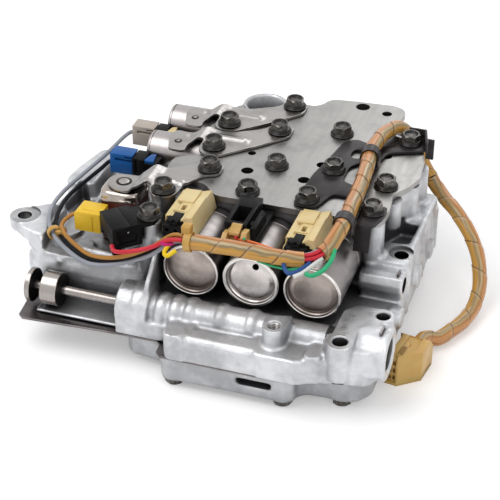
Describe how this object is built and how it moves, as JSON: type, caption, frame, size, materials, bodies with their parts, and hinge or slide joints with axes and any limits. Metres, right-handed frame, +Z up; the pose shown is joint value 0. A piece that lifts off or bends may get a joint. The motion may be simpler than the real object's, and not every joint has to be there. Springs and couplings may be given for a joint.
{
  "type": "transmission valve body",
  "caption": "Valve body of an automatic transmission, with castings, solenoids, a sliding manual valve and its wiring harness.",
  "frame": {"origin": "centre of the footprint, on the surface that the bottom bolt heads stand on, measured without the loose harness tail and its connector", "axes": "+X along the manual valve towards the regulator end, +Y away from the solenoid can faces, +Z up through the cover plate"},
  "size_m": [0.2752, 0.2186, 0.0965],
  "materials": {
    "casting": "die-cast aluminium, bright, with machined faces",
    "steel": "brushed and turned steel",
    "sheet": "satin pressed sheet steel",
    "dark_bolt": "black oxide with worn edges",
    "dark_sheet": "dark phosphate sheet steel",
    "black_nylon": "moulded black nylon",
    "cream_nylon": "aged translucent cream nylon",
    "tan_nylon": "aged translucent tan nylon",
    "beige_nylon": "moulded beige nylon",
    "blue_nylon": "moulded blue nylon",
    "yellow_nylon": "moulded yellow nylon",
    "brown_nylon": "moulded red-brown nylon under a folded steel cap",
    "amber_wrap": "amber translucent spiral wrap over wires",
    "grey_lead": "grey insulation",
    "black_lead": "black insulation",
    "orange_lead": "orange-brown insulation",
    "red_lead": "red insulation"
  },
  "bodies": {
    "housing": {"main_body": "casting", "lower_body": "casting", "regulator_plug": "casting", "shift_plug": "casting", "solenoid_can_left": "steel", "solenoid_can_middle": "steel", "solenoid_can_right": "steel", "shift_solenoid_one": "steel", "shift_solenoid_two": "steel", "regulator_spring": "steel", "shift_spring": "steel", "separator_plate": "sheet", "cover_plate": "sheet", "hold_down_one": "sheet", "hold_down_two": "sheet", "hold_down_three": "sheet", "regulator_key": "sheet", "shift_key": "sheet", "bolt_01": "dark_bolt", "bolt_02": "dark_bolt", "bolt_03": "dark_bolt", "bolt_04": "dark_bolt", "bolt_05": "dark_bolt", "bolt_06": "dark_bolt", "bolt_07": "dark_bolt", "bolt_08": "dark_bolt", "bolt_09": "dark_bolt", "bolt_11": "dark_bolt", "bolt_12": "dark_bolt", "bolt_13": "dark_bolt", "bolt_14": "dark_bolt", "bolt_15": "dark_bolt", "bolt_16": "dark_bolt", "harness_bracket": "dark_sheet", "side_bracket": "dark_sheet", "left_plug": "black_nylon", "middle_housing": "black_nylon", "right_plug": "black_nylon", "solenoid_socket_one": "black_nylon", "solenoid_socket_two": "black_nylon", "oil_temperature_sensor": "black_nylon", "left_housing": "cream_nylon", "right_housing": "cream_nylon", "middle_plug": "tan_nylon", "tail_connector": "tan_nylon", "solenoid_plug_one": "beige_nylon", "solenoid_plug_two": "blue_nylon", "solenoid_plug_three": "yellow_nylon", "shift_solenoid_three": "brown_nylon", "harness": "amber_wrap", "harness_tail": "amber_wrap", "grey_lead": "grey_lead", "black_lead": "black_lead", "orange_lead": "orange_lead", "red_lead": "red_lead"},
    "manual_spool": {"manual_valve": "steel"},
    "regulator_spool": {"regulator_valve": "steel"},
    "shift_spool": {"shift_valve": "steel"}
  },
  "joints": [
    {"name": "manual_slide", "type": "slide", "parent": "housing", "child": "manual_spool", "axis": [1, 0, 0], "range_m": [-0.004, 0.034]},
    {"name": "regulator_slide", "type": "slide", "parent": "housing", "child": "regulator_spool", "axis": [1, 0, 0], "range_m": [0, 0.003], "stiffness_N_per_m": 1200, "springref_m": -0.003, "deforming": ["regulator_spring"]},
    {"name": "shift_slide", "type": "slide", "parent": "housing", "child": "shift_spool", "axis": [1, 0, 0], "range_m": [0, 0.003], "stiffness_N_per_m": 600, "springref_m": -0.002, "deforming": ["shift_spring"]}
  ]
}
